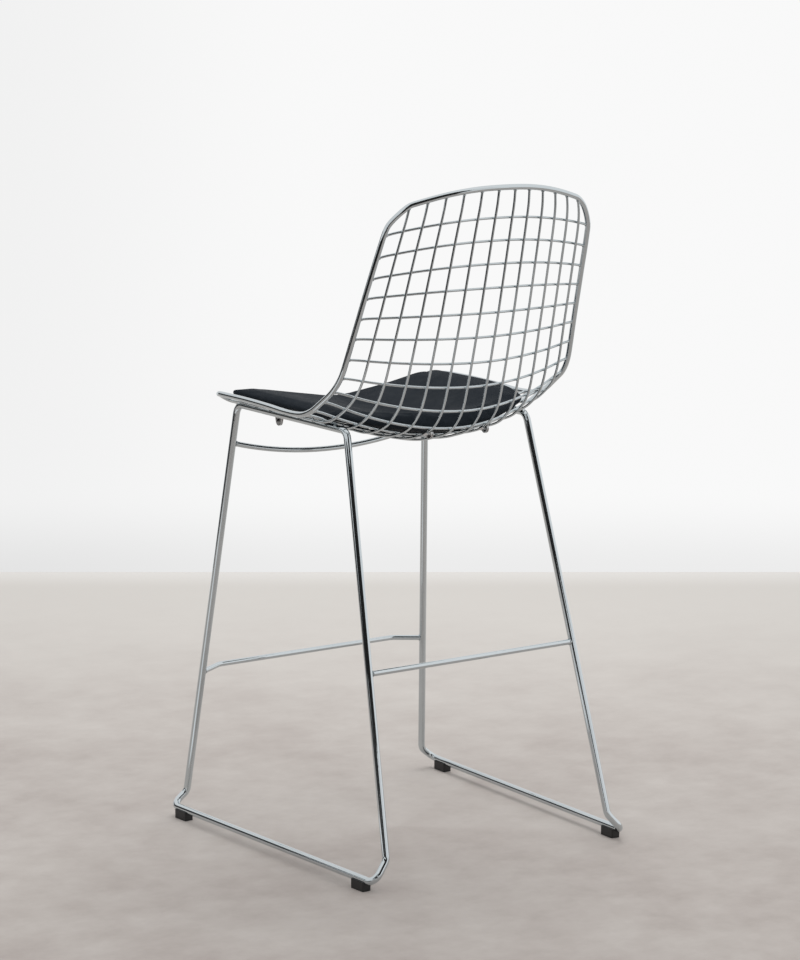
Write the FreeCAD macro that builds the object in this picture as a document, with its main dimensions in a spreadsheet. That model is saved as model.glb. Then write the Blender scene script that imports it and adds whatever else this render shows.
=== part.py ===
import FreeCAD, Part
import math
import os

V = FreeCAD.Vector
doc = FreeCAD.newDocument("bar_stool")

# ---------------------------------------------------------------- driving sizes
# millimetres; +Z up, front of the stool faces -Y, sitter's left is +X,
# origin on the floor under the middle of the stool
sheet = doc.addObject("Spreadsheet::Sheet", "dims")
sizes = [
    # rod and wire diameters
    ("rod_frame", 12.0), ("rod_rest", 9.0), ("rod_rim", 9.0),
    ("wire_long", 4.0), ("wire_cross", 4.0),
    # half the distance between the long wire layer and the cross wire layer
    ("layer", 2.2), ("weld_gap", 0.05),
    # side frame, left one; corners of the bent loop
    ("rail_front_x", 192.0), ("rail_front_y", -193.4), ("rail_front_z", 710.6),
    ("rail_rear_x", 179.0), ("rail_rear_y", 107.0), ("rail_rear_z", 700.2),
    ("knee_front_x", 247.7), ("knee_front_y", -279.4), ("knee_front_z", 38.0),
    ("knee_rear_x", 223.1), ("knee_rear_y", 276.4), ("knee_rear_z", 48.0),
    ("toe_front_x", 273.8), ("toe_front_y", -283.0),
    ("toe_rear_x", 250.9), ("toe_rear_y", 284.0), ("runner_z", 17.1),
    ("bend_rail", 17.0), ("bend_knee", 18.0), ("bend_toe", 15.0),
    # rests and brace
    ("footrest_z", 249.2), ("footrest_bend_x", 180.5), ("footrest_bend_y", -278.5),
    ("footrest_bar_z", 251.1), ("footrest_bend", 22.0),
    ("stretcher_z", 328.6), ("brace_z", 644.5), ("brace_mid_y", -206.0),
    ("brace_mid_z", 617.8),
    # floor glides
    ("glide_long", 32.0), ("glide_wide", 16.0), ("glide_tall", 15.2),
    ("glide_from_mid", 249.0), ("glide_groove", 12.1), ("glide_round", 2.0),
    # seat pad
    ("pad_lift", 5.0), ("pad_edge", 14.5), ("pad_crown", 12.5), ("pad_dip", 3.0),
    ("pad_bow", 52.0), ("pad_skin", 1.2),
    # pad clips
    ("clip_bore", 4.7), ("clip_strap", 1.3), ("clip_wide", 10.0), ("clip_drop", 21.6),
    ("clip_tongue", 21.0), ("clip_round", 8.2), ("clip_level", 12.3),
    ("clip_short", 10.5), ("clip_short_level", 7.0),
    ("clip_slot", 1.2), ("clip_screw", 3.0), ("clip_head", 4.6),
]
# rows of the shell, front edge to top edge:
# middle y, middle z, edge x, edge y, edge z, share of parabola in the sag
rows = [
    (-229.0, 685.0, 227.0, -213.5, 728.0, 1.0),
    (-182.0, 680.0, 231.0, -178.0, 731.5, 0.83),
    (-143.5, 676.0, 232.0, -143.5, 731.3, 0.69),
    (-104.5, 671.8, 232.0, -105.5, 730.5, 0.55),
    (-65.0, 668.3, 232.0, -67.0, 729.0, 0.39),
    (-25.5, 665.8, 232.0, -28.5, 727.0, 0.23),
    (14.0, 665.0, 232.0, 7.0, 724.5, 0.09),
    (53.5, 667.0, 232.5, 38.0, 724.0, 0.18),
    (92.0, 672.5, 233.0, 66.0, 726.5, 0.66),
    (130.0, 682.0, 233.0, 91.0, 735.5, 1.0),
    (166.0, 695.5, 231.0, 117.0, 752.5, 1.0),
    (194.5, 727.0, 229.0, 141.0, 770.0, 1.0),
    (208.5, 767.0, 225.2, 158.5, 793.0, 1.0),
    (219.5, 807.0, 221.6, 170.0, 822.5, 1.0),
    (230.0, 848.0, 218.0, 181.0, 855.0, 1.0),
    (240.0, 887.0, 214.6, 192.0, 886.5, 1.0),
    (249.5, 927.0, 211.4, 203.0, 918.0, 1.0),
    (258.5, 965.5, 208.0, 214.0, 949.0, 1.0),
    (267.0, 1002.5, 204.4, 226.0, 982.0, 1.0),
    (275.5, 1038.5, 199.6, 238.0, 1016.5, 1.0),
    (287.0, 1086.4, 191.0, 247.0, 1052.7, 1.15),
]
names = ("mid_y", "mid_z", "edge_x", "edge_y", "edge_z", "share")
for k, row in enumerate(rows):
    for word, number in zip(names, row):
        sizes.append(("row_%s_%s" % ("abcdefghijklmnopqrstu"[k], word), number))
for i, (word, number) in enumerate(sizes):
    sheet.set("A%d" % (i + 1), word)
    sheet.set("B%d" % (i + 1), repr(number))
    sheet.setAlias("B%d" % (i + 1), word)
doc.recompute()


def dim(word):
    return float(getattr(sheet, word))


# ---------------------------------------------------------------- helpers
def mirrored(p):
    return V(-p.x, p.y, p.z)


def route(points, radii, closed=False):
    """wire of straight runs joined by tangent arcs of the given radii"""
    n = len(points)
    idx = range(n) if closed else range(1, n - 1)
    corner = {}
    for i in idx:
        p, a, b = points[i], points[(i - 1) % n], points[(i + 1) % n]
        u = (a - p).normalize()
        w = (b - p).normalize()
        turn = math.pi - u.getAngle(w)
        if turn < 2e-4:
            corner[i] = (p, None, p)
            continue
        t = radii[i] * math.tan(turn / 2)
        bis = (u + w).normalize()
        mid = p + bis * (radii[i] / math.cos(turn / 2) - radii[i])
        corner[i] = (p + u * t, mid, p + w * t)
    edges = []
    order = list(range(n)) + ([0] if closed else [])
    for j in range(len(order) - 1):
        i, k = order[j], order[j + 1]
        start = corner[i][2] if i in corner else points[i]
        end = corner[k][0] if k in corner else points[k]
        if start.distanceToPoint(end) > 1e-4:
            edges.append(Part.LineSegment(start, end).toShape())
        if k in corner and corner[k][1] is not None:
            edges.append(Part.Arc(corner[k][0], corner[k][1], corner[k][2]).toShape())
    if closed:
        return two_runs(edges)
    return Part.Wire(Part.__sortEdges__(edges))


def two_runs(edges):
    """a closed run of edges as two open wires that meet end to end"""
    total = sum(e.Length for e in edges)
    done, best = 0.0, None
    for i, e in enumerate(edges):
        if i and isinstance(e.Curve, Part.Line):
            miss = abs(done - total / 2)
            if best is None or miss < best[0]:
                best = (miss, i)
        done += e.Length
    k = best[1]
    return [Part.Wire(Part.__sortEdges__(edges[:k])), Part.Wire(Part.__sortEdges__(edges[k:]))]


def smooth(targets, closed=False, share=0.48):
    """route whose arcs pass through every target point, each arc as wide as fits"""
    n = len(targets)
    pts = [V(p) for p in targets]
    idx = list(range(n)) if closed else list(range(1, n - 1))
    radii = [0.0] * n
    for _ in range(8):
        shift = {}
        for i in idx:
            p, a, b = pts[i], pts[(i - 1) % n], pts[(i + 1) % n]
            u, w = a - p, b - p
            run = min(u.Length, w.Length) * share
            u.normalize()
            w.normalize()
            turn = math.pi - u.getAngle(w)
            if turn < 2e-4:
                radii[i] = 0.0
                shift[i] = targets[i]
                continue
            radii[i] = run / math.tan(turn / 2)
            bis = (u + w).normalize()
            shift[i] = targets[i] - bis * (radii[i] / math.cos(turn / 2) - radii[i])
        for i in idx:
            pts[i] = V(shift[i])
    for i in idx:
        p, a, b = pts[i], pts[(i - 1) % n], pts[(i + 1) % n]
        u, w = a - p, b - p
        run = min(u.Length, w.Length) * share
        turn = math.pi - u.getAngle(w)
        radii[i] = run / math.tan(turn / 2) if turn >= 2e-4 else 0.0
    return route(pts, radii, closed)


def rod(label, wire, bore_word, more="0"):
    """round rod of the sheet's diameter swept along a wire"""
    path = doc.addObject("Part::Feature", label + "_path")
    path.Shape = wire
    first = wire.OrderedEdges[0]
    vertex = wire.OrderedVertexes[0].Point
    t0 = first.FirstParameter
    if first.valueAt(t0).distanceToPoint(vertex) > 1e-6:
        t0 = first.LastParameter
    tangent = first.tangentAt(t0)
    circle = doc.addObject("Part::Circle", label + "_section")
    circle.setExpression("Radius", "dims.%s / 2 + %s" % (bore_word, more))
    circle.Placement = FreeCAD.Placement(vertex, FreeCAD.Rotation(V(0, 0, 1), tangent))
    sweep = doc.addObject("Part::Sweep", label)
    sweep.Sections = [circle]
    sweep.Spine = (path, ["Edge%d" % (i + 1) for i in range(len(wire.Edges))])
    sweep.Solid = True
    sweep.Frenet = False
    doc.recompute()
    want = math.pi * circle.Radius.Value ** 2 * wire.Length
    have = sweep.Shape.Volume
    if abs(have - want) > 0.01 * want:
        raise RuntimeError("%s: volume %.1f, section x length %.1f" % (label, have, want))
    return sweep


def loop_rod(label, wires, bore_word, more="0"):
    """closed loop of rod: two bent runs joined end to end"""
    joined = doc.addObject("Part::Fuse", label)
    joined.Base = rod(label + "_run1", wires[0], bore_word, more)
    joined.Tool = rod(label + "_run2", wires[1], bore_word, more)
    doc.recompute()
    return joined


def cylinder(label, start, end, radius_expression):
    body = doc.addObject("Part::Cylinder", label)
    axis = end - start
    body.setExpression("Radius", radius_expression)
    body.Height = axis.Length
    body.Placement = FreeCAD.Placement(start, FreeCAD.Rotation(V(0, 0, 1), axis))
    return body


def cut(label, base, tools):
    for i, tool in enumerate(tools):
        last = i == len(tools) - 1
        step = doc.addObject("Part::Cut", label if last else "%s_cut%d" % (label, i))
        step.Base = base
        step.Tool = tool
        base = step
    return base


nodes = []


def keep(obj, label):
    obj.Label = label
    nodes.append(obj)
    return obj


# ---------------------------------------------------------------- side frames
rail_front = V(dim("rail_front_x"), dim("rail_front_y"), dim("rail_front_z"))
rail_rear = V(dim("rail_rear_x"), dim("rail_rear_y"), dim("rail_rear_z"))
knee_front = V(dim("knee_front_x"), dim("knee_front_y"), dim("knee_front_z"))
knee_rear = V(dim("knee_rear_x"), dim("knee_rear_y"), dim("knee_rear_z"))
toe_front = V(dim("toe_front_x"), dim("toe_front_y"), dim("runner_z"))
toe_rear = V(dim("toe_rear_x"), dim("toe_rear_y"), dim("runner_z"))
# the loop starts half way along the rail
rail_mid = (rail_front + rail_rear) * 0.5
loop = [rail_mid, rail_front, knee_front, toe_front, toe_rear, knee_rear, rail_rear]
bends = [0.0, dim("bend_rail"), dim("bend_knee"), dim("bend_toe"),
         dim("bend_toe"), dim("bend_knee"), dim("bend_rail")]
keep(loop_rod("left_side_frame", route(loop, bends, True), "rod_frame"), "left_side_frame")
keep(loop_rod("right_side_frame", route([mirrored(p) for p in loop], bends, True), "rod_frame"),
     "right_side_frame")


def on_leg(low, high, z):
    return low + (high - low) * ((z - low.z) / (high.z - low.z))


def leg_tool(label, low, high, z):
    """round tool along a leg, to fit a rod's end to the leg's side"""
    a, b = on_leg(low, high, z - 40), on_leg(low, high, z + 40)
    return cylinder(label, a, b, "dims.rod_frame / 2 + dims.weld_gap")


# ---------------------------------------------------------------- rests and brace
end = on_leg(knee_front, rail_front, dim("footrest_z"))
bend = V(dim("footrest_bend_x"), dim("footrest_bend_y"), dim("footrest_bar_z"))
inset = end + (bend - end).normalize() * 2.0
bar = rod("footrest_rod", route([inset, bend, mirrored(bend), mirrored(inset)],
                                [0, dim("footrest_bend"), dim("footrest_bend"), 0]), "rod_rest")
keep(cut("front_footrest", bar, [
    leg_tool("footrest_left_leg", knee_front, rail_front, dim("footrest_z")),
    leg_tool("footrest_right_leg", mirrored(knee_front), mirrored(rail_front), dim("footrest_z"))]),
    "front_footrest")

end = on_leg(knee_rear, rail_rear, dim("stretcher_z"))
inset = end - V(2, 0, 0)
bar = cylinder("stretcher_rod", mirrored(inset), inset, "dims.rod_rest / 2")
keep(cut("rear_stretcher", bar, [
    leg_tool("stretcher_left_leg", knee_rear, rail_rear, dim("stretcher_z")),
    leg_tool("stretcher_right_leg", mirrored(knee_rear), mirrored(rail_rear), dim("stretcher_z"))]),
    "rear_stretcher")

end = on_leg(knee_front, rail_front, dim("brace_z"))
inset = end - V(2, 0.05, 0.5)
middle = V(0, dim("brace_mid_y"), dim("brace_mid_z"))
bow = Part.Wire([Part.Arc(inset, middle, mirrored(inset)).toShape()])
bar = rod("brace_rod", bow, "rod_rest")
keep(cut("front_seat_brace", bar, [
    leg_tool("brace_left_leg", knee_front, rail_front, dim("brace_z")),
    leg_tool("brace_right_leg", mirrored(knee_front), mirrored(rail_front), dim("brace_z"))]),
    "front_seat_brace")

# ---------------------------------------------------------------- shell surface
count = len(rows)
table = [[dim("row_%s_%s" % ("abcdefghijklmnopqrstu"[k], w)) for w in names] for k in range(count)]


def row_at(rho):
    """row numbers between the rows, smooth from one to the next"""
    k = max(0, min(count - 2, int(math.floor(rho))))
    f = rho - k
    out = []
    for c in range(6):
        p1, p2 = table[k][c], table[k + 1][c]
        p0 = table[k - 1][c] if k > 0 else 2 * p1 - p2
        p3 = table[k + 2][c] if k + 2 < count else 2 * p2 - p1
        out.append(0.5 * (2 * p1 + (p2 - p0) * f + (2 * p0 - 5 * p1 + 4 * p2 - p3) * f * f
                          + (3 * p1 - p0 - 3 * p2 + p3) * f ** 3))
    return out


def shell(a, rho):
    """middle of the shell; a runs -1 to 1 across, rho front edge 0 to top edge 20"""
    my, mz, ex, ey, ez, share = row_at(rho)
    soft = 0.12
    tent = (math.sqrt(a * a + soft * soft) - soft) / (math.sqrt(1 + soft * soft) - soft)
    sag = share * a * a + (1 - share) * tent
    sweep_back = 0.65 * a * a + 0.35 * tent
    return V(ex * a, my + (ey - my) * sweep_back, mz + (ez - mz) * sag)


def inward(a, rho):
    """unit normal of the shell toward the sitter"""
    e = 0.01
    across = shell(a + e, rho) - shell(a - e, rho)
    lo, hi = max(0.0, rho - e), min(count - 1.0, rho + e)
    along = shell(a, hi) - shell(a, lo)
    return across.cross(along).normalize()


one_side = [0.857, 0.706, 0.553, 0.398, 0.239, 0.082]
long_at = one_side + [-a for a in reversed(one_side)]
layer = dim("layer")
butt = dim("rod_rim") / 2 - 2.6

# ---------------------------------------------------------------- rim
half = [shell(0, 0)] + [shell(a, 0) for a in reversed(one_side)]
half += [V(211.0, -211.5, 724.4), V(222.0, -202.5, 728.4), V(229.0, -191.0, 730.8)]
half += [shell(1, k) for k in range(1, 20)]
half += [V(194.4, 241.4, 1031.2), V(186.4, 246.6, 1042.6), V(176.6, 252.0, 1052.8)]
half += [shell(a, 20) for a in one_side]
ring = half + [mirrored(p) for p in reversed(half[1:])]
keep(loop_rod("shell_rim", smooth(ring, True), "rod_rim"), "shell_rim")
# the wires' ends are shaped to the rim they are welded to
rim_tool = loop_rod("rim_tool", smooth(ring, True), "rod_rim", "dims.weld_gap")


def butted(points, first_rim, last_rim):
    """path with its two ends set against the rim"""
    a = first_rim + (points[0] - first_rim).normalize() * butt
    b = last_rim + (points[-1] - last_rim).normalize() * butt
    return [a] + points + [b]


# ---------------------------------------------------------------- wires
for i, a in enumerate(long_at):
    steps = [0.45] + [0.5 * j for j in range(2, 39)] + [19.5]
    pts = [shell(a, r) - inward(a, r) * layer for r in steps]
    label = "long_wire_%02d" % (i + 1)
    wire = rod(label + "_wire", smooth(butted(pts, shell(a, 0), shell(a, 20))), "wire_long")
    keep(cut(label, wire, [rim_tool]), label)

across = [0.93, 0.80, 0.64, 0.48, 0.32, 0.16]
across = across + [0.0] + [-a for a in reversed(across)]
for j in range(19):
    rho = 19 - j
    pts = [shell(a, rho) + inward(a, rho) * layer for a in across]
    label = "cross_wire_%02d" % (j + 1)
    wire = rod(label + "_wire", smooth(butted(pts, shell(1, rho), shell(-1, rho))), "wire_cross")
    keep(cut(label, wire, [rim_tool]), label)

# ---------------------------------------------------------------- seat pad
# outline of the pad: half width at stations from the front edge to the rear edge
outline = [(-206.0, 175.0), (-205.0, 188.0), (-202.0, 197.0), (-196.0, 202.5), (-186.0, 205.0),
           (-160.0, 206.5), (-120.0, 207.5), (-60.0, 208.0), (0.0, 208.0), (40.0, 207.0),
           (66.0, 204.0), (84.0, 198.0), (97.0, 189.0), (106.0, 178.0), (112.0, 165.0)]


def pad_depth(x_share):
    """thickness of the pad across its width: thin at the sides, full toward the middle"""
    crown = dim("pad_crown") * (1 - abs(x_share) ** 3.4)
    return dim("pad_edge") + crown - dim("pad_dip") * math.exp(-(x_share / 0.22) ** 2)



def rho_at(a, y):
    lo, hi = 0.0, 11.5
    for _ in range(50):
        m = (lo + hi) / 2
        if shell(a, m).y < y:
            lo = m
        else:
            hi = m
    return (lo + hi) / 2


def pad_point(x_share, station, inset, height):
    y0, half_width = outline[station]
    x = x_share * (half_width - inset)
    first, last = outline[0][0], outline[-1][0]
    y = y0 + inset * (1 - 2 * (y0 - first) / (last - first))
    # front edge bows a little forward, rear edge follows the wires round the back
    back = max(0.0, (y0 + 60.0) / (last + 60.0)) ** 2
    ahead = max(0.0, (-60.0 - y0) / (-60.0 - first)) ** 2
    bow = 1 - x_share * x_share
    y += bow * (dim("pad_bow") * back - 3.0 * ahead)
    a = x / 232.0
    for _ in range(4):
        rho = rho_at(a, y)
        a = x / row_at(rho)[2]
    return shell(a, rho) + inward(a, rho) * height


def pad_solid(inset, gap):
    """pad between its underside and its crown, drawn in by the inset and the gap"""
    shares = [-1 + 2 * i / 16.0 for i in range(17)]
    faces = []
    for top in (False, True):
        rise = [dim("pad_lift") + (pad_depth(s) - gap if top else gap) for s in shares]
        grid = [[pad_point(s, k, inset, h) for s, h in zip(shares, rise)] for k in range(len(outline))]
        surface = Part.BSplineSurface()
        surface.interpolate(grid)
        faces.append((surface, surface.toShape()))
    (low, low_face), (high, high_face) = faces
    sides = []
    u0, u1, v0, v1 = low.bounds()
    for iso in ("u0", "u1", "v0", "v1"):
        pair = []
        for surface in (low, high):
            a0, a1, b0, b1 = surface.bounds()
            curve = surface.uIso({"u0": a0, "u1": a1}[iso]) if iso[0] == "u" else \
                surface.vIso({"v0": b0, "v1": b1}[iso])
            pair.append(curve.toShape())
        sides.append(Part.makeRuledSurface(pair[0], pair[1]))
    skin = Part.Shell([low_face, high_face] + sides)
    skin.sewShape()
    solid = Part.Solid(skin)
    if solid.Volume < 0:
        solid.reverse()
    return solid


skin = dim("pad_skin")
outer = doc.addObject("Part::Feature", "pad_outside")
outer.Shape = pad_solid(0.0, 0.0)
core = doc.addObject("Part::Feature", "seat_pad_foam")
core.Shape = pad_solid(skin, skin)
keep(cut("seat_pad_cover", outer, [core]), "seat_pad_cover")
keep(core, "seat_pad_foam")

# ---------------------------------------------------------------- pad clips
# each clip is a strap folded round a long wire, with a hanging tongue of two plies and a screw;
# the front pair have long tongues, the rear pair short ones
# place: across, y of the fold's middle, how far the tongue leans toward the rear
clip_places = [(0.706, -115.2, 6.0), (0.239, 151.5, 6.0), (-0.239, 151.5, 6.0), (-0.706, -115.2, 6.0)]
clips, screws = [], []
strap, wide = dim("clip_strap"), dim("clip_wide")
both = dim("clip_slot") + 2 * strap


def touch(p, centre, radius, turn):
    """point where the line from p touches a circle, in the tongue's plane"""
    d = p - centre
    reach = math.acos(radius / d.Length) * turn
    d.normalize()
    return centre + V(0, d.y * math.cos(reach) - d.z * math.sin(reach),
                      d.y * math.sin(reach) + d.z * math.cos(reach)) * radius


for i, (a, y, lean) in enumerate(clip_places):
    rho = rho_at(a, y)
    centre = shell(a, rho) - inward(a, rho) * layer
    ahead = shell(a, rho + 0.05) - inward(a, rho + 0.05) * layer
    behind = shell(a, rho - 0.05) - inward(a, rho - 0.05) * layer
    run = (ahead - behind).normalize()
    out = (V(0, 0, -1) + run * run.z).normalize()
    side = run.cross(out).normalize()
    out = side.cross(run).normalize()
    spin = FreeCAD.Rotation(FreeCAD.Matrix(side.x, run.x, out.x, 0, side.y, run.y, out.y, 0,
                                           side.z, run.z, out.z, 0, 0, 0, 0, 1))
    here = FreeCAD.Placement(centre, spin)
    eye = doc.addObject("Part::Cylinder", "clip_eye_%d" % (i + 1))
    eye.setExpression("Radius", "dims.clip_bore / 2 + dims.clip_strap")
    eye.setExpression("Height", "dims.clip_wide")
    eye.Placement = here.multiply(FreeCAD.Placement(V(0, wide / 2, 0), FreeCAD.Rotation(V(1, 0, 0), 90)))
    # tongue: shoulders under the fold, straight sides, round end
    if y < 0:
        drop, broad, shoulder, level = dim("clip_drop"), dim("clip_tongue"), 5.0, dim("clip_level")
    else:
        drop, broad, shoulder, level = dim("clip_short"), dim("clip_round") * 2 + 0.1, 1.0, dim("clip_short_level")
    low = V(0, lean, drop - dim("clip_round"))
    left = V(0, lean - broad / 2, shoulder)
    right = V(0, lean + broad / 2, shoulder)
    t_right, t_left = touch(right, low, dim("clip_round"), 1), touch(left, low, dim("clip_round"), -1)
    tip = low + V(0, 0, dim("clip_round"))
    line = [left, V(0, -wide / 2, 0), V(0, wide / 2, 0), right, t_right]
    line = [here.multVec(p) for p in line]
    edges = [Part.LineSegment(p, q).toShape() for p, q in zip(line, line[1:])]
    edges.append(Part.Arc(line[-1], here.multVec(tip), here.multVec(t_left)).toShape())
    edges.append(Part.LineSegment(here.multVec(t_left), line[0]).toShape())
    plan = doc.addObject("Part::Feature", "clip_plan_%d" % (i + 1))
    plan.Shape = Part.Face(Part.Wire(Part.__sortEdges__(edges)))
    tongue = doc.addObject("Part::Extrusion", "clip_tongue_%d" % (i + 1))
    tongue.Base = plan
    tongue.DirMode = "Custom"
    tongue.Dir = side
    tongue.Solid = True
    tongue.setExpression("LengthFwd", "dims.clip_slot / 2 + dims.clip_strap")
    tongue.setExpression("LengthRev", "dims.clip_slot / 2 + dims.clip_strap")
    body = doc.addObject("Part::Fuse", "clip_body_%d" % (i + 1))
    body.Base, body.Tool = eye, tongue
    hole = doc.addObject("Part::Cylinder", "clip_bore_%d" % (i + 1))
    hole.setExpression("Radius", "dims.clip_bore / 2")
    hole.Height = 60
    hole.Placement = here.multiply(FreeCAD.Placement(V(0, 30, 0), FreeCAD.Rotation(V(1, 0, 0), 90)))
    slot = doc.addObject("Part::Box", "clip_slot_%d" % (i + 1))
    slot.setExpression("Length", "dims.clip_slot")
    slot.Width = 60
    slot.setExpression("Height", "dims.clip_drop + 1")
    slot.Placement = here.multiply(FreeCAD.Placement(V(-dim("clip_slot") / 2, -30, 0.5), FreeCAD.Rotation()))
    # the screw goes through both plies, its head toward the outside of the stool
    flip = -1 if a > 0 else 1
    drill = cylinder("clip_drill_%d" % (i + 1), here.multVec(V(-both, lean, level)),
                     here.multVec(V(both, lean, level)), "dims.clip_screw / 2 + 0.1")
    clips.append(cut("clip_%d" % (i + 1), body, [hole, slot, drill]))
    shank = cylinder("screw_shank_%d" % (i + 1), here.multVec(V(flip * (both / 2 + 0.5), lean, level)),
                     here.multVec(V(-flip * (both / 2 + 0.6), lean, level)), "dims.clip_screw / 2")
    head = cylinder("screw_head_%d" % (i + 1), here.multVec(V(flip * (both / 2 + 0.05), lean, level)),
                    here.multVec(V(flip * (both / 2 + 1.75), lean, level)), "dims.clip_head / 2")
    screw = doc.addObject("Part::Fuse", "screw_%d" % (i + 1))
    screw.Base, screw.Tool = shank, head
    screws.append(screw)
group = doc.addObject("Part::Compound", "pad_clips")
group.Links = clips
keep(group, "pad_clips")
group = doc.addObject("Part::Compound", "pad_clip_screws")
group.Links = screws
keep(group, "pad_clip_screws")

# ---------------------------------------------------------------- floor glides
runner = (toe_rear - toe_front).normalize()
for end_word, sign in (("front", -1), ("rear", 1)):
    y = sign * dim("glide_from_mid")
    x = toe_front.x + (toe_rear.x - toe_front.x) * (y - toe_front.y) / (toe_rear.y - toe_front.y)
    for side_word, flip in (("left", 1), ("right", -1)):
        label = "%s_%s_glide" % (end_word, side_word)
        turn = FreeCAD.Rotation(V(0, 0, 1), -flip * math.degrees(math.atan2(runner.x, runner.y)))
        here = FreeCAD.Placement(V(flip * x, y, 0), turn)
        block = doc.addObject("Part::Box", label + "_block")
        block.setExpression("Length", "dims.glide_wide")
        block.setExpression("Width", "dims.glide_long")
        block.setExpression("Height", "dims.glide_tall")
        block.Placement = here.multiply(FreeCAD.Placement(
            V(-dim("glide_wide") / 2, -dim("glide_long") / 2, 0), FreeCAD.Rotation()))
        doc.recompute()
        soft = doc.addObject("Part::Fillet", label + "_soft")
        soft.Base = block
        soft.Edges = [(n + 1, dim("glide_round"), dim("glide_round")) for n, e in enumerate(block.Shape.Edges)
                      if abs(e.Vertexes[0].Z - e.Vertexes[1].Z) > 1]
        groove = doc.addObject("Part::Cylinder", label + "_groove")
        groove.setExpression("Radius", "dims.glide_groove / 2")
        groove.Height = dim("glide_long") + 4
        groove.Placement = here.multiply(FreeCAD.Placement(
            V(0, dim("glide_long") / 2 + 2, dim("runner_z")), FreeCAD.Rotation(V(1, 0, 0), 90)))
        keep(cut(label, soft, [groove]), label)

# ---------------------------------------------------------------- write the parts
doc.recompute()
for obj in doc.Objects:
    if "Invalid" in obj.State or "Error" in obj.State:
        raise RuntimeError("%s is %s" % (obj.Name, obj.State))
os.makedirs("parts", exist_ok=True)
for obj in nodes:
    shape = obj.Shape
    if shape.isNull() or not shape.isValid() or shape.Volume <= 0:
        raise RuntimeError("%s has no valid shape" % obj.Label)
    shape.exportStep("parts/%s.step" % obj.Label)
print(len(nodes), "parts written")
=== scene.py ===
import math

import bmesh
import bpy
import numpy as np
from mathutils import Matrix, Vector, noise


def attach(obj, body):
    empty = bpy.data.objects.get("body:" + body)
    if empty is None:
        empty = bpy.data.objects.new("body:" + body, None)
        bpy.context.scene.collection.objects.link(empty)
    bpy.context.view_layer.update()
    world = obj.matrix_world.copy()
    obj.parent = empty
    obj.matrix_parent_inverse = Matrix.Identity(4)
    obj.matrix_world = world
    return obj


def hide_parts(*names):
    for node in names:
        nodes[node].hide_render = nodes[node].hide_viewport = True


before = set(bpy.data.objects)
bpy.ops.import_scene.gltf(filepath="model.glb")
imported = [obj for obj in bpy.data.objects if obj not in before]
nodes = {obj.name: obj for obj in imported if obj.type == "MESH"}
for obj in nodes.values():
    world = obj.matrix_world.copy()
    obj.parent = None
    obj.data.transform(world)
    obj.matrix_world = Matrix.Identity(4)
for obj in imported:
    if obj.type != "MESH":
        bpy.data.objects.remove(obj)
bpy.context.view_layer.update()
scene = bpy.context.scene
scene.view_settings.view_transform = "Standard"
scene.view_settings.look = "None"

# ------------------------------------------------------------------ camera
eye = Vector((2.71644, 3.80816, 1.36313))
ahead = Vector((-0.573038, -0.803156, -0.162999)).normalized()
cam = bpy.data.objects.new("camera", bpy.data.cameras.new("camera"))
cam.data.sensor_fit = "AUTO"
cam.data.sensor_width = 36.0
cam.data.lens = 107.777
cam.data.clip_start, cam.data.clip_end = 0.05, 100.0
cam.location = eye
cam.rotation_mode = "QUATERNION"
cam.rotation_quaternion = ahead.to_track_quat("-Z", "Y")
scene.collection.objects.link(cam)
scene.camera = cam
# level directions of the photograph: to the right, and toward the viewer
right = ahead.cross(Vector((0, 0, 1))).normalized()
near = Vector((-ahead.x, -ahead.y, 0)).normalized()


# ------------------------------------------------------------------ node helpers
class Tree:
    """short calls for building a node tree"""

    def __init__(self, tree):
        self.tree = tree
        tree.nodes.clear()

    def add(self, kind, **values):
        node = self.tree.nodes.new(kind)
        for key, value in values.items():
            if key.startswith("in_"):
                node.inputs[key[3:].replace("_", " ")].default_value = value
            else:
                setattr(node, key, value)
        return node

    def link(self, a, b):
        self.tree.links.new(a, b)

    def math(self, op, a, b=None, c=None, clamp=False):
        node = self.tree.nodes.new("ShaderNodeMath")
        node.operation = op
        node.use_clamp = clamp
        for i, value in enumerate((a, b, c)):
            if value is None:
                continue
            if isinstance(value, (int, float)):
                node.inputs[i].default_value = value
            else:
                self.link(value, node.inputs[i])
        return node.outputs[0]

    def step(self, value, low, high, to_low=0.0, to_high=1.0):
        node = self.tree.nodes.new("ShaderNodeMapRange")
        node.interpolation_type = "SMOOTHSTEP"
        self.link(value, node.inputs["Value"])
        for name, number in (("From Min", low), ("From Max", high), ("To Min", to_low), ("To Max", to_high)):
            node.inputs[name].default_value = number
        return node.outputs["Result"]

    def dot(self, vector, direction):
        node = self.tree.nodes.new("ShaderNodeVectorMath")
        node.operation = "DOT_PRODUCT"
        self.link(vector, node.inputs[0])
        node.inputs[1].default_value = direction
        return node.outputs["Value"]

    def ramp(self, value, stops, interpolation="LINEAR"):
        node = self.tree.nodes.new("ShaderNodeValToRGB")
        node.color_ramp.interpolation = interpolation
        ends = node.color_ramp.elements
        while len(ends) < len(stops):
            ends.new(0.5)
        for end, (place, colour) in zip(ends, stops):
            end.position = place
            end.color = (*colour, 1.0)
        self.link(value, node.inputs["Fac"])
        return node.outputs["Color"]


def material(name):
    mat = bpy.data.materials.new(name)
    mat.use_nodes = True
    t = Tree(mat.node_tree)
    out = t.add("ShaderNodeOutputMaterial")
    shader = t.add("ShaderNodeBsdfPrincipled")
    t.link(shader.outputs["BSDF"], out.inputs["Surface"])
    place = t.add("ShaderNodeTexCoord").outputs["Object"]
    return mat, t, shader, place


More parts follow.
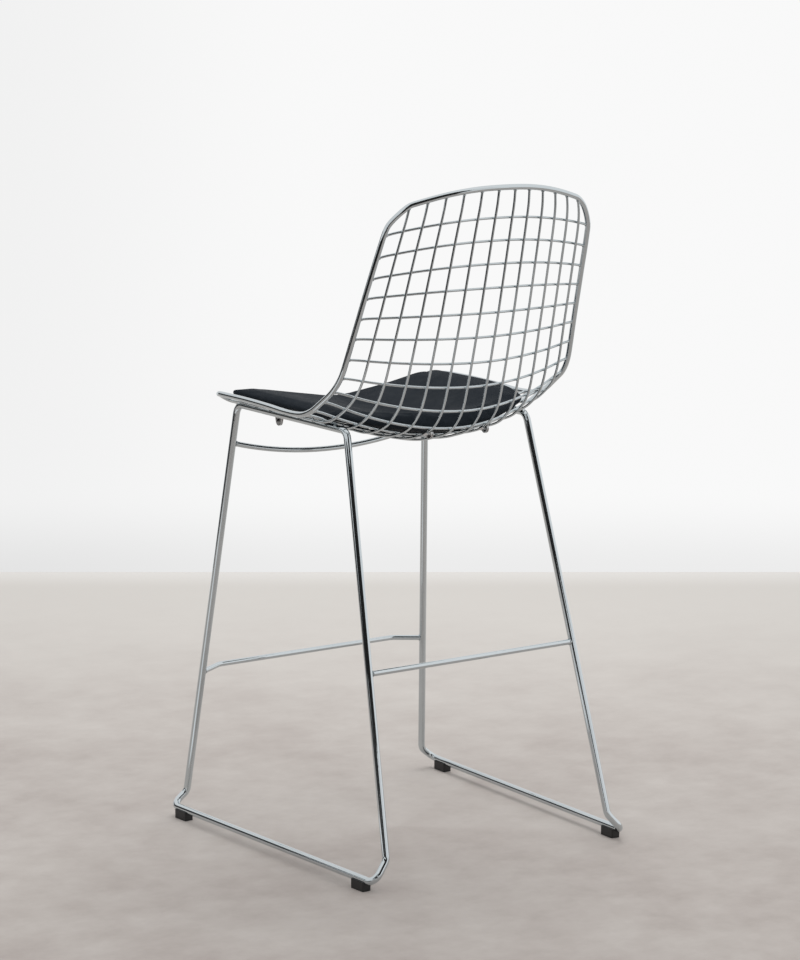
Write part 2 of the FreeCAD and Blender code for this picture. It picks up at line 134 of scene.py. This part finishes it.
def fractal(t, place, scale, detail=3.0, rough=0.5, stretch=None):
    if stretch:
        mapping = t.add("ShaderNodeMapping")
        mapping.inputs["Scale"].default_value = stretch
        t.link(place, mapping.inputs["Vector"])
        place = mapping.outputs["Vector"]
    node = t.add("ShaderNodeTexNoise", in_Scale=scale, in_Detail=detail, in_Roughness=rough)
    t.link(place, node.inputs["Vector"])
    return node.outputs["Fac"]


def bump(t, shader, height, strength, distance):
    node = t.add("ShaderNodeBump", in_Strength=strength, in_Distance=distance)
    t.link(height, node.inputs["Height"])
    t.link(node.outputs["Normal"], shader.inputs["Normal"])
    return node


# ------------------------------------------------------------------ materials
def chrome(name, low, high, rough_low, rough_high, wave):
    mat, t, shader, place = material(name)
    shader.inputs["Metallic"].default_value = 1.0
    cloud = fractal(t, place, 9.0, 4.0, 0.55)
    t.link(t.ramp(cloud, [(0.30, low), (0.72, high)]), shader.inputs["Base Color"])
    speck = fractal(t, place, 260.0, 3.0, 0.6)
    t.link(t.step(speck, 0.35, 0.75, rough_low, rough_high), shader.inputs["Roughness"])
    bump(t, shader, fractal(t, place, 55.0, 2.0, 0.4), wave, 0.0006)
    return mat


def leatherette():
    mat, t, shader, place = material("leatherette")
    shader.inputs["Specular IOR Level"].default_value = 0.02
    cloud = fractal(t, place, 14.0, 4.0, 0.6)
    base = t.ramp(cloud, [(0.30, (0.0150, 0.0195, 0.0250)), (0.70, (0.0200, 0.0250, 0.0315))])
    cells = t.add("ShaderNodeTexVoronoi", in_Scale=780.0, in_Randomness=0.95)
    cells.feature = "DISTANCE_TO_EDGE"
    t.link(place, cells.inputs["Vector"])
    # painted shade: the grain's creases (cell edges) also feed the bump, and here they darken the base colour as
    # painted shade in the creases
    crease = t.step(cells.outputs["Distance"], 0.0, 0.18)
    painted_crease_shade = t.add("ShaderNodeMix")
    painted_crease_shade.data_type = "RGBA"
    painted_crease_shade.blend_type = "MULTIPLY"
    painted_crease_shade.inputs["Factor"].default_value = 0.35
    t.link(base, painted_crease_shade.inputs["A"])
    t.link(t.ramp(crease, [(0.0, (0.55, 0.55, 0.55)), (1.0, (1.0, 1.0, 1.0))]), painted_crease_shade.inputs["B"])
    t.link(painted_crease_shade.outputs["Result"], shader.inputs["Base Color"])
    fold = fractal(t, place, 38.0, 3.0, 0.55)
    t.link(t.step(fold, 0.25, 0.75, 0.50, 0.62), shader.inputs["Roughness"])
    grain = t.math("ADD", crease, t.math("MULTIPLY", fractal(t, place, 1600.0, 2.0, 0.5), 0.35))
    fine = bump(t, shader, grain, 0.30, 0.00025)
    soft = t.add("ShaderNodeBump", in_Strength=0.12, in_Distance=0.0010)
    t.link(fold, soft.inputs["Height"])
    t.link(soft.outputs["Normal"], fine.inputs["Normal"])
    return mat


def moulded():
    mat, t, shader, place = material("black_plastic")
    cloud = fractal(t, place, 60.0, 3.0, 0.5)
    t.link(t.ramp(cloud, [(0.3, (0.0045, 0.0045, 0.0050)), (0.75, (0.0090, 0.0090, 0.0098))]),
           shader.inputs["Base Color"])
    t.link(t.step(fractal(t, place, 420.0, 3.0, 0.6), 0.3, 0.75, 0.34, 0.50), shader.inputs["Roughness"])
    bump(t, shader, fractal(t, place, 900.0, 2.0, 0.6), 0.25, 0.0002)
    return mat


def steel(name, low, high, rough):
    mat, t, shader, place = material(name)
    shader.inputs["Metallic"].default_value = 1.0
    grain = fractal(t, place, 700.0, 3.0, 0.6, (1.0, 1.0, 0.06))
    t.link(t.ramp(grain, [(0.3, low), (0.75, high)]), shader.inputs["Base Color"])
    t.link(t.step(grain, 0.3, 0.75, rough * 0.8, rough * 1.25), shader.inputs["Roughness"])
    bump(t, shader, grain, 0.15, 0.0001)
    return mat


chrome_rod = chrome("chrome_rod", (0.560, 0.610, 0.635), (0.610, 0.655, 0.678), 0.040, 0.080, 0.10)
chrome_wire = chrome("chrome_wire", (0.535, 0.585, 0.610), (0.600, 0.645, 0.668), 0.055, 0.110, 0.16)
chrome_weld = chrome("chrome_weld", (0.440, 0.480, 0.500), (0.560, 0.600, 0.622), 0.140, 0.280, 0.60)
pad_leather = leatherette()
glide_plastic = moulded()
clip_steel = steel("clip_steel", (0.60, 0.61, 0.62), (0.74, 0.75, 0.76), 0.20)
screw_steel = steel("screw_steel", (0.030, 0.030, 0.032), (0.065, 0.065, 0.070), 0.36)

for name, node in nodes.items():
    if name.startswith(("long_wire", "cross_wire")):
        mat = chrome_wire
    elif name.endswith("_glide"):
        mat = glide_plastic
    elif name == "pad_clips":
        mat = clip_steel
    elif name == "pad_clip_screws":
        mat = screw_steel
    elif name.startswith("seat_pad"):
        mat = pad_leather
    else:
        mat = chrome_rod
    node.data.materials.clear()
    node.data.materials.append(mat)

# ------------------------------------------------------------------ shell surface, millimetres
# middle y, middle z, edge x, edge y, edge z, share of parabola, front edge to top edge
rows = np.array([
    (-229.0, 685.0, 227.0, -213.5, 728.0, 1.0), (-182.0, 680.0, 231.0, -178.0, 731.5, 0.83),
    (-143.5, 676.0, 232.0, -143.5, 731.3, 0.69), (-104.5, 671.8, 232.0, -105.5, 730.5, 0.55),
    (-65.0, 668.3, 232.0, -67.0, 729.0, 0.39), (-25.5, 665.8, 232.0, -28.5, 727.0, 0.23),
    (14.0, 665.0, 232.0, 7.0, 724.5, 0.09), (53.5, 667.0, 232.5, 38.0, 724.0, 0.18),
    (92.0, 672.5, 233.0, 66.0, 726.5, 0.66), (130.0, 682.0, 233.0, 91.0, 735.5, 1.0),
    (166.0, 695.5, 231.0, 117.0, 752.5, 1.0), (194.5, 727.0, 229.0, 141.0, 770.0, 1.0),
    (208.5, 767.0, 225.2, 158.5, 793.0, 1.0), (219.5, 807.0, 221.6, 170.0, 822.5, 1.0),
    (230.0, 848.0, 218.0, 181.0, 855.0, 1.0), (240.0, 887.0, 214.6, 192.0, 886.5, 1.0),
    (249.5, 927.0, 211.4, 203.0, 918.0, 1.0), (258.5, 965.5, 208.0, 214.0, 949.0, 1.0),
    (267.0, 1002.5, 204.4, 226.0, 982.0, 1.0), (275.5, 1038.5, 199.6, 238.0, 1016.5, 1.0),
    (287.0, 1086.4, 191.0, 247.0, 1052.7, 1.15),
])
count = len(rows)
padded_rows = np.vstack([2 * rows[0] - rows[1], rows, 2 * rows[-1] - rows[-2]])


def row_at(rho):
    rho = np.asarray(rho, float)
    k = np.clip(np.floor(rho).astype(int), 0, count - 2)
    f = (rho - k)[..., None]
    p0, p1, p2, p3 = (padded_rows[k + i] for i in range(4))
    return 0.5 * (2 * p1 + (p2 - p0) * f + (2 * p0 - 5 * p1 + 4 * p2 - p3) * f ** 2
                  + (3 * p1 - p0 - 3 * p2 + p3) * f ** 3)


def shell(a, rho):
    a = np.asarray(a, float)
    my, mz, ex, ey, ez, share = np.moveaxis(row_at(rho), -1, 0)
    tent = (np.sqrt(a * a + 0.0144) - 0.12) / (math.sqrt(1.0144) - 0.12)
    sag = share * a * a + (1 - share) * tent
    back = 0.65 * a * a + 0.35 * tent
    return np.stack([ex * a, my + (ey - my) * back, mz + (ez - mz) * sag], -1)


def inward(a, rho):
    a, rho = np.asarray(a, float), np.asarray(rho, float)
    e = 0.01
    across = shell(a + e, rho) - shell(a - e, rho)
    along = shell(a, np.minimum(rho + e, count - 1.0)) - shell(a, np.maximum(rho - e, 0.0))
    n = np.cross(across, along)
    return n / np.linalg.norm(n, axis=-1, keepdims=True)


def above(x, y, height):
    """points over plan positions x, y, at a height along the shell's normal"""
    lo, hi = np.zeros_like(x), np.full_like(x, 11.5)
    for _ in range(40):
        mid = (lo + hi) / 2
        less = shell(x / row_at(mid)[..., 2], mid)[..., 1] < y
        lo, hi = np.where(less, mid, lo), np.where(less, hi, mid)
    a = x / row_at(lo)[..., 2]
    return shell(a, lo) + inward(a, lo) * np.asarray(height)[..., None]


long_at = [0.857, 0.706, 0.553, 0.398, 0.239, 0.082]
long_at = long_at + [-a for a in reversed(long_at)]


def new_object(name, mesh, mat):
    obj = bpy.data.objects.new(name, mesh)
    scene.collection.objects.link(obj)
    mesh.materials.clear()
    mesh.materials.append(mat)
    mesh.polygons.foreach_set("use_smooth", [True] * len(mesh.polygons))
    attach(obj, "root")
    return obj


# ------------------------------------------------------------------ seat pad
outline = np.array([(-208.0, 184.0), (-207.5, 194.0), (-205.5, 201.0), (-200.0, 205.0), (-188.0, 206.5),
                    (-160.0, 207.0), (-120.0, 207.5), (-60.0, 208.0), (0.0, 208.0), (40.0, 207.0),
                    (66.0, 204.0), (84.0, 198.0), (97.0, 189.0), (106.0, 178.0), (112.0, 165.0)])
first, last = outline[0, 0], outline[-1, 0]


def smooth_step(value, low, high):
    f = np.clip((value - low) / (high - low), 0.0, 1.0)
    return f * f * (3 - 2 * f)


def depth(s, u):
    y0 = np.interp(u, np.arange(len(outline)), outline[:, 0])
    fuller = 8.0 * smooth_step(-s, 0.45, 0.88) * smooth_step(y0, -214.0, -165.0) * smooth_step(-y0, -110.0, 0.0)
    return 14.5 + 12.5 * (1 - np.abs(s) ** 3.4) - 3.0 * np.exp(-(s / 0.22) ** 2) + fuller


def plan(s, u, inset):
    """plan position on the pad: s across, u along the outline's stations"""
    k = np.arange(len(outline))
    y0 = np.interp(u, k, outline[:, 0])
    half = np.interp(u, k, outline[:, 1])
    x = s * (half - inset)
    y = y0 + inset * (1 - 2 * (y0 - first) / (last - first))
    back = np.maximum(0.0, (y0 + 60.0) / (last + 60.0)) ** 2
    front = np.maximum(0.0, (-60.0 - y0) / (-60.0 - first)) ** 2
    return x, y + (1 - s * s) * (52.0 * back - 3.0 * front)


def pad_seed(shrink):
    """closed pad: underside on the wires, bull-nosed edge, crowned top"""
    ns, nu = 60, 70
    s = np.sin(np.linspace(-math.pi / 2, math.pi / 2, ns))
    u = np.linspace(0, len(outline) - 1, nu)
    grid_s, grid_u = np.meshgrid(s, u, indexing="ij")
    # inset from the outline and share of the depth, from the underside up to the top
    levels = [(7.0, 0.0), (3.0, 0.06), (0.8, 0.24), (0.0, 0.48), (0.6, 0.70), (2.6, 0.87), (6.0, 0.97), (11.0, 1.0)]
    ring = [(i, 0) for i in range(ns)] + [(ns - 1, j) for j in range(1, nu)]
    ring += [(i, nu - 1) for i in range(ns - 2, -1, -1)] + [(0, j) for j in range(nu - 2, 0, -1)]
    bm = bmesh.new()

    def points(inset, share, ss, uu):
        x, y = plan(ss, uu, inset + shrink)
        return above(x, y, 4.6 + shrink + depth(ss, uu) * share - 2 * shrink * share)

    loops, sheets = [], []
    for n, (inset, share) in enumerate(levels):
        if n in (0, len(levels) - 1):
            p = points(inset, share, grid_s, grid_u)
            sheet = [[bm.verts.new(p[i, j] / 1000) for j in range(nu)] for i in range(ns)]
            sheets.append(sheet)
            loops.append([sheet[i][j] for i, j in ring])
        else:
            ss = np.array([grid_s[i, j] for i, j in ring])
            uu = np.array([grid_u[i, j] for i, j in ring])
            loops.append([bm.verts.new(q / 1000) for q in points(inset, share, ss, uu)])
    for n, sheet in enumerate(sheets):
        for i in range(ns - 1):
            for j in range(nu - 1):
                quad = [sheet[i][j], sheet[i + 1][j], sheet[i + 1][j + 1], sheet[i][j + 1]]
                bm.faces.new(quad if n else quad[::-1])
    for low, high in zip(loops, loops[1:]):
        for i in range(len(ring)):
            k = (i + 1) % len(ring)
            bm.faces.new([low[i], low[k], high[k], high[i]])
    bmesh.ops.recalc_face_normals(bm, faces=bm.faces)
    mesh = bpy.data.meshes.new("pad_seed")
    bm.to_mesh(mesh)
    bm.free()
    return mesh


def evaluated(obj):
    bpy.context.view_layer.update()
    deps = bpy.context.evaluated_depsgraph_get()
    return bpy.data.meshes.new_from_object(obj.evaluated_get(deps))


def coordinates(mesh):
    co = np.empty(len(mesh.vertices) * 3)
    mesh.vertices.foreach_get("co", co)
    return co.reshape(-1, 3)


def make_pad():
    work = bpy.data.objects.new("pad_work", pad_seed(1.2))
    scene.collection.objects.link(work)
    remesh = work.modifiers.new("remesh", "REMESH")
    remesh.mode = "VOXEL"
    remesh.voxel_size = 0.0045
    even = work.modifiers.new("even", "SMOOTH")
    even.factor, even.iterations = 0.5, 4
    mesh = evaluated(work)
    bpy.data.objects.remove(work)
    rest = coordinates(mesh)
    soft = bpy.data.objects.new("pad_cloth", mesh)
    scene.collection.objects.link(soft)
    # the underside stays where it rests on the wires
    normals = np.empty(len(mesh.vertices) * 3)
    mesh.vertices.foreach_get("normal", normals)
    down = normals.reshape(-1, 3)[:, 2] < -0.55
    held = soft.vertex_groups.new(name="held")
    held.add([int(i) for i in np.nonzero(down)[0]], 1.0, "REPLACE")
    cloth = soft.modifiers.new("cloth", "CLOTH")
    cloth.settings.quality = 6
    cloth.settings.mass = 0.35
    cloth.settings.tension_stiffness = 25
    cloth.settings.compression_stiffness = 25
    cloth.settings.shear_stiffness = 12
    cloth.settings.bending_stiffness = 1.5
    cloth.settings.use_pressure = True
    cloth.settings.uniform_pressure_force = 4.0
    cloth.settings.vertex_group_mass = "held"
    cloth.settings.effector_weights.gravity = 0.0
    cloth.point_cache.frame_start, cloth.point_cache.frame_end = 1, 20
    for number in range(1, 21):
        scene.frame_set(number)
    blown = coordinates(evaluated(soft))
    scene.frame_set(1)
    move = blown - rest
    size = np.linalg.norm(move, axis=1, keepdims=True)
    move *= np.minimum(1.0, 0.005 / np.maximum(size, 1e-9))
    bpy.data.objects.remove(soft)
    mesh.vertices.foreach_set("co", (rest + move).ravel())
    mesh.update()
    return mesh


pad = new_object("seat_pad", make_pad(), pad_leather)
sub = pad.modifiers.new("subdivision", "SUBSURF")
sub.levels = sub.render_levels = 1
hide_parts("seat_pad_cover", "seat_pad_foam")

# ------------------------------------------------------------------ welds
welds = bmesh.new()


def blob(at, axes, seed, rounds=1):
    """small uneven bead; axes are three vectors, millimetres"""
    made = bmesh.ops.create_icosphere(welds, subdivisions=rounds, radius=1.0)["verts"]
    m = Matrix([axes[0], axes[1], axes[2]]).transposed()
    for v in made:
        wobble = 1 + 0.16 * noise.noise(v.co * 1.7 + Vector((seed * 3.1, seed * 1.7, seed * 0.9)))
        v.co = (Vector(at) + m @ (v.co * wobble)) / 1000


def collar(at, axis, ring, bead, seed):
    """weld fillet round the end of a rod"""
    axis = Vector(axis).normalized()
    side = axis.orthogonal().normalized()
    other = axis.cross(side)
    n, m = 20, 8
    verts = []
    for i in range(n):
        t = 2 * math.pi * i / n
        out = side * math.cos(t) + other * math.sin(t)
        swell = bead * (1 + 0.22 * noise.noise(Vector((3 * math.cos(t) + seed, 3 * math.sin(t), seed * 2.3))))
        verts.append([welds.verts.new((Vector(at) + out * ring + (out * math.cos(p) + axis * math.sin(p)) * swell) / 1000)
                      for p in (2 * math.pi * j / m for j in range(m))])
    for i in range(n):
        for j in range(m):
            welds.faces.new([verts[i][j], verts[(i + 1) % n][j], verts[(i + 1) % n][(j + 1) % m], verts[i][(j + 1) % m]])


seed = 1.0
for a in long_at:
    for rho in range(1, 20):
        centre = shell(a, rho)
        n = inward(a, rho)
        along = shell(a, min(rho + 0.05, 20)) - shell(a, rho - 0.05)
        along /= np.linalg.norm(along)
        across = np.cross(along, n)
        blob(centre, (Vector(along) * 2.3, Vector(across) * 2.3, Vector(n) * 1.7), seed)
        seed += 1.0
layer, rim_r = 2.2, 4.5
for a in long_at:
    for rho, step in ((0.0, 0.45), (20.0, 19.5)):
        rim = Vector(shell(a, rho))
        wire = Vector(shell(a, step) - inward(a, step) * layer)
        toward = (wire - rim).normalized()
        side = toward.orthogonal().normalized()
        blob(rim + toward * (rim_r + 0.4), (toward * 1.9, side * 3.0, toward.cross(side) * 3.0), seed, 2)
        seed += 1.0
for rho in range(1, 20):
    for sign in (1, -1):
        rim = Vector(shell(sign * 1.0, rho))
        wire = Vector(shell(sign * 0.93, rho) + inward(sign * 0.93, rho) * layer)
        toward = (wire - rim).normalized()
        side = toward.orthogonal().normalized()
        blob(rim + toward * (rim_r + 0.4), (toward * 1.9, side * 3.0, toward.cross(side) * 3.0), seed, 2)
        seed += 1.0

rail_front, rail_rear = Vector((192.0, -193.4, 710.6)), Vector((179.0, 107.0, 700.2))
knee_front, knee_rear = Vector((247.7, -279.4, 38.0)), Vector((223.1, 276.4, 48.0))
run = (rail_rear - rail_front).normalized()
for rho in range(1, 9):
    for sign in (1, -1):
        a = np.linspace(0.6, 0.95, 141) * sign
        wire = shell(a, np.full_like(a, rho)) + inward(a, np.full_like(a, rho)) * layer
        best = min(range(len(a)), key=lambda i: ((Vector(wire[i]) - Vector((sign * rail_front.x, rail_front.y, rail_front.z))).cross(
            Vector((sign * run.x, run.y, run.z)))).length)
        p = Vector(wire[best])
        start, way = Vector((sign * rail_front.x, rail_front.y, rail_front.z)), Vector((sign * run.x, run.y, run.z))
        foot = start + way * (p - start).dot(way)
        out = (p - foot).normalized()
        blob(foot + out * 6.1, (way * 3.4, way.cross(out) * 3.2, out * 1.3), seed, 2)
        seed += 1.0


def on_leg(low, high, z):
    return low + (high - low) * ((z - low.z) / (high.z - low.z))


for sign in (1, -1):
    def mirror(p):
        return Vector((sign * p.x, p.y, p.z))
    end = on_leg(knee_front, rail_front, 249.2)
    bend = Vector((180.5, -278.5, 251.1))
    way = (bend - end).normalized()
    collar(mirror(end + way * 6.2), mirror(way), 4.3, 1.25, seed)
    end = on_leg(knee_rear, rail_rear, 328.6)
    collar(mirror(end + Vector((-6.2, 0, 0))), mirror(Vector((-1, 0, 0))), 4.3, 1.25, seed + 1)
    end = on_leg(knee_front, rail_front, 644.5)
    collar(mirror(end + Vector((-6.2, -0.15, -1.5))), mirror(Vector((-1, -0.02, -0.24))), 4.3, 1.25, seed + 2)
    seed += 3
bmesh.ops.recalc_face_normals(welds, faces=welds.faces)
mesh = bpy.data.meshes.new("weld_beads")
welds.to_mesh(mesh)
welds.free()
new_object("weld_beads", mesh, chrome_weld)

# ------------------------------------------------------------------ floor
far, wide, front = -2.197, 5.0, 6.0
mesh = bpy.data.meshes.new("floor")
bm = bmesh.new()
corners = [right * -wide + near * far, right * wide + near * far, right * wide + near * front, right * -wide + near * front]
bm.faces.new([bm.verts.new(c) for c in corners])
bmesh.ops.recalc_face_normals(bm, faces=bm.faces)
bm.to_mesh(mesh)
bm.free()
floor = bpy.data.objects.new("floor", mesh)
scene.collection.objects.link(floor)
mat, t, shader, place = material("floor")
shader.inputs["Roughness"].default_value = 0.75
shader.inputs["Specular IOR Level"].default_value = 0.25
blot = fractal(t, place, 2.2, 6.0, 0.66)
stain = fractal(t, place, 9.0, 5.0, 0.65, tuple(1.0 + 0.5 * abs(c) for c in near))
tone = t.math("ADD", t.math("MULTIPLY", blot, 0.6), t.math("MULTIPLY", stain, 0.4))
base = t.ramp(tone, [(0.36, (0.398, 0.352, 0.330)), (0.50, (0.464, 0.424, 0.398)), (0.64, (0.524, 0.488, 0.460))])
depth_in = t.dot(place, near)
# painted light: towards the back wall the floor's colour is blended to a lighter tone
painted_light_to_back = t.add("ShaderNodeMix")
painted_light_to_back.data_type = "RGBA"
t.link(t.math("POWER", t.step(depth_in, 0.9, far), 2.2), painted_light_to_back.inputs["Factor"])
t.link(base, painted_light_to_back.inputs["A"])
painted_light_to_back.inputs["B"].default_value = (0.625, 0.600, 0.568, 1.0)
# painted light: over the last 0.2 m before the far edge the floor is painted lighter still, close to the wall's
# tone
edge = t.add("ShaderNodeMix")
edge.data_type = "RGBA"
t.link(t.step(depth_in, far + 0.20, far, 0.0, 0.9), edge.inputs["Factor"])
t.link(painted_light_to_back.outputs["Result"], edge.inputs["A"])
edge.inputs["B"].default_value = (0.725, 0.705, 0.680, 1.0)
t.link(edge.outputs["Result"], shader.inputs["Base Color"])
bump(t, shader, stain, 0.08, 0.002)
floor.data.materials.append(mat)

# ------------------------------------------------------------------ studio
world = bpy.data.worlds.new("studio")
scene.world = world
world.use_nodes = True
t = Tree(world.node_tree)
out = t.add("ShaderNodeOutputWorld")
way = t.add("ShaderNodeTexCoord").outputs["Generated"]
to_right, to_near = t.dot(way, right), t.dot(way, near)
rise = t.dot(way, (0, 0, 1))
turn = t.math("DEGREES", t.math("ARCTAN2", to_right, to_near))
climb = t.math("DEGREES", t.math("ARCSINE", rise))
# white all round, a little brighter overhead
side = t.math("MULTIPLY", t.step(turn, 55, 75), t.step(turn, 160, 140))
light = t.math("ADD", t.math("MULTIPLY_ADD", t.step(climb, 15, 60), 0.08, 0.84), t.math("MULTIPLY", side, 0.14))
studio = t.add("ShaderNodeBackground")
tint = t.ramp(light, [(0.0, (0.0, 0.0, 0.0)), (1.0, (1.0, 1.0, 1.0))])
t.link(tint, studio.inputs["Color"])
studio.inputs["Strength"].default_value = 1.0
# the wall that the camera sees, with painted shade: darker towards the left and low down near the floor
wall = t.add("ShaderNodeBackground")
sideways = t.math("DIVIDE", to_right, t.math("MAXIMUM", t.math("ABSOLUTE", to_near), 0.05))
shade = t.step(sideways, -0.02, -0.15, 0.0, 0.065)
low_shade = t.step(climb, -9.5, -11.3, 0.0, 0.11)
wall_tone = t.math("SUBTRACT", t.math("SUBTRACT", 0.945, shade), low_shade)
t.link(t.ramp(wall_tone, [(0.0, (0.0, 0.0, 0.0)), (1.0, (1.0, 1.0, 1.0))]), wall.inputs["Color"])
seen = t.add("ShaderNodeLightPath").outputs["Is Camera Ray"]
both = t.add("ShaderNodeMixShader")
t.link(seen, both.inputs["Fac"])
t.link(studio.outputs["Background"], both.inputs[1])
t.link(wall.outputs["Background"], both.inputs[2])
t.link(both.outputs["Shader"], out.inputs["Surface"])


def soft_box(name, place, aim, size, power):
    lamp = bpy.data.objects.new(name, bpy.data.lights.new(name, "AREA"))
    lamp.data.shape = "RECTANGLE"
    lamp.data.size, lamp.data.size_y = size
    lamp.data.energy = power
    lamp.location = place
    lamp.rotation_mode = "QUATERNION"
    lamp.rotation_quaternion = (Vector(aim) - Vector(place)).to_track_quat("-Z", "Y")
    lamp.visible_glossy = False
    scene.collection.objects.link(lamp)
    return lamp


soft_box("back_light", near * -1.3 + right * 0.2 + Vector((0, 0, 2.6)), (0, 0, 0.1), (1.6, 1.0), 20.0)


def flag(name, corners, tone):
    """black studio flag that shows only in reflections; corners: to the right, toward the viewer, up"""
    mesh = bpy.data.meshes.new(name)
    bm = bmesh.new()
    bm.faces.new([bm.verts.new(right * r + near * n + Vector((0, 0, z))) for r, n, z in corners])
    bm.to_mesh(mesh)
    bm.free()
    obj = bpy.data.objects.new(name, mesh)
    scene.collection.objects.link(obj)
    mat, t, shader, place = material(name)
    shader.inputs["Roughness"].default_value = 1.0
    shader.inputs["Specular IOR Level"].default_value = 0.0
    t.link(t.ramp(fractal(t, place, 2.0), [(0.3, (tone, tone, tone)), (0.7, (tone * 1.3,) * 3)]), shader.inputs["Base Color"])
    mesh.materials.append(mat)
    obj.visible_camera = obj.visible_diffuse = obj.visible_shadow = False
    obj.visible_transmission = obj.visible_volume_scatter = False


flag("flag_left", [(-4.0, -2.6, 0.02), (-4.0, 4.0, 0.02), (-4.0, 4.0, 0.80), (-4.0, -2.6, 0.80)], 0.06)
flag("flag_low", [(-4.0, 4.0, 0.02), (-1.6, 4.0, 0.02), (-1.6, 4.0, 0.95), (-4.0, 4.0, 0.75)], 0.06)
flag("flag_mid", [(-1.5, 3.9, 0.30), (1.0, 3.9, 0.10), (1.0, 3.9, 1.20), (-1.5, 3.9, 0.85)], 0.03)
flag("flag_back_left", [(-4.0, -3.6, 0.75), (-4.0, -0.8, 0.75), (-4.0, -0.8, 2.20), (-4.0, -3.6, 2.20)], 0.05)
flag("card_left", [(-0.38, 0.25, 0.004), (-1.50, 2.60, 0.004), (-2.74, 1.67, 0.004), (-0.526, 0.122, 0.004)], 0.74)
flag("flag_slant", [(-3.6, 3.9, 0.50), (0.6, 3.9, 1.15), (0.6, 3.9, 1.65), (-3.6, 3.9, 0.95)], 0.04)
flag("flag_room", [(0.5, 3.9, 1.10), (4.6, 3.9, 1.50), (4.6, 3.9, 8.00), (0.5, 3.9, 8.00)], 0.02)
flag("flag_card", [(-1.3, 1.06, 0.45), (0.17, 1.06, 0.45), (0.17, 1.06, 0.95), (-1.3, 1.06, 0.95)], 0.02)
flag("flag_side", [(0.27, 1.22, 0.80), (0.80, 0.88, 0.80), (0.80, 0.88, 2.00), (0.27, 1.22, 2.00)], 0.02)
